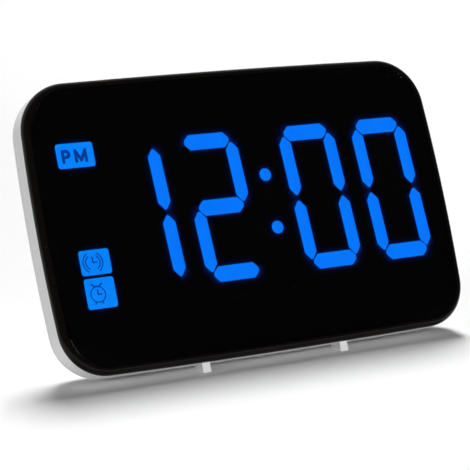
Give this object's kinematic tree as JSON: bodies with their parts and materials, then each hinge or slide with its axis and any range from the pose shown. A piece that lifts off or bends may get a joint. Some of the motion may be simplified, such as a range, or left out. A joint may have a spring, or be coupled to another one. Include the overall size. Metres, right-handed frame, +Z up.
{
  "type": "digital alarm clock",
  "caption": "Bedside digital alarm clock: gloss black front with a blue segment display, leaning on a pale case with battery pod, snooze bar and rear keys.",
  "frame": {"origin": "middle of the footprint, on the table plane", "axes": "+X to the viewer's right, the display faces -Y and leans back, +Z up"},
  "size_m": [0.15, 0.0526, 0.0899],
  "materials": {
    "gloss_black": "glossy",
    "smoked_lens": "polished",
    "tape_black": "matte",
    "mask_black": "matte",
    "segment_blue": "diffusing",
    "light_block_white": "matte",
    "board_green": "solder mask",
    "led_yellow": "glossy",
    "epoxy_black": "semi-gloss",
    "can_steel": "satin",
    "sleeve_black": "satin",
    "screw_steel": "zinc plated",
    "shell_silver": "satin",
    "button_grey": "satin",
    "switch_black": "matte",
    "plunger_tan": "matte",
    "pad_rubber": "matte",
    "piezo_brass": "bright",
    "piezo_white": "fired",
    "cell_wrap": "printed film",
    "contact_nickel": "nickel plated",
    "jack_black": "matte",
    "pin_nickel": "nickel plated",
    "wire_red": "insulated"
  },
  "bodies": {
    "case": {"front_bezel": "gloss_black", "front_lens": "smoked_lens", "lens_tape": "tape_black", "display_mask": "mask_black", "hour_tens_segments": "segment_blue", "hour_units_segments": "segment_blue", "minute_tens_segments": "segment_blue", "minute_units_segments": "segment_blue", "colon_dots": "segment_blue", "pm_indicator": "segment_blue", "chime_indicator": "segment_blue", "alarm_indicator": "segment_blue", "light_block": "light_block_white", "circuit_board": "board_green", "led_chips": "led_yellow", "board_screws": "screw_steel", "chip_blob": "epoxy_black", "quartz_can": "can_steel", "smoothing_capacitor": "sleeve_black", "button_switches": "switch_black", "switch_housing": "can_steel", "snooze_switch": "switch_black", "piezo_disc": "piezo_brass", "piezo_ceramic": "piezo_white", "rear_shell": "shell_silver", "case_screws": "screw_steel", "rear_pads": "pad_rubber", "battery_cells": "cell_wrap", "battery_contacts": "contact_nickel", "power_jack": "jack_black", "jack_pin": "pin_nickel", "battery_leads": "wire_red", "jack_leads": "wire_red", "piezo_leads": "wire_red"},
    "snooze": {"snooze_bar": "button_grey", "snooze_plunger": "plunger_tan"},
    "alarm_slider": {"switch_knob": "switch_black"},
    "door": {"battery_door": "shell_silver"},
    "time_key": {"time_button": "button_grey", "time_plunger": "plunger_tan"},
    "alarm_key": {"alarm_button": "button_grey", "alarm_plunger": "plunger_tan"},
    "plus_key": {"plus_button": "button_grey", "plus_plunger": "plunger_tan"},
    "minus_key": {"minus_button": "button_grey", "minus_plunger": "plunger_tan"}
  },
  "joints": [
    {"name": "snooze_press", "type": "slide", "parent": "case", "child": "snooze", "axis": [0, -0.3987, -0.9171], "range_m": [0, 0.0006], "stiffness_N_per_m": 400, "springref_m": -0.001},
    {"name": "time_press", "type": "slide", "parent": "case", "child": "time_key", "axis": [0, -0.9171, 0.3987], "range_m": [0, 0.0005], "stiffness_N_per_m": 400, "springref_m": -0.0006},
    {"name": "alarm_press", "type": "slide", "parent": "case", "child": "alarm_key", "axis": [0, -0.9171, 0.3987], "range_m": [0, 0.0005], "stiffness_N_per_m": 400, "springref_m": -0.0006},
    {"name": "plus_press", "type": "slide", "parent": "case", "child": "plus_key", "axis": [0, -0.9171, 0.3987], "range_m": [0, 0.0005], "stiffness_N_per_m": 400, "springref_m": -0.0006},
    {"name": "minus_press", "type": "slide", "parent": "case", "child": "minus_key", "axis": [0, -0.9171, 0.3987], "range_m": [0, 0.0005], "stiffness_N_per_m": 400, "springref_m": -0.0006},
    {"name": "alarm_slide", "type": "slide", "parent": "case", "child": "alarm_slider", "axis": [1, 0, 0], "range_m": [0, 0.003]},
    {"name": "door_slide", "type": "slide", "parent": "case", "child": "door", "axis": [0, 0, 1], "range_m": [0, 0.042]}
  ]
}
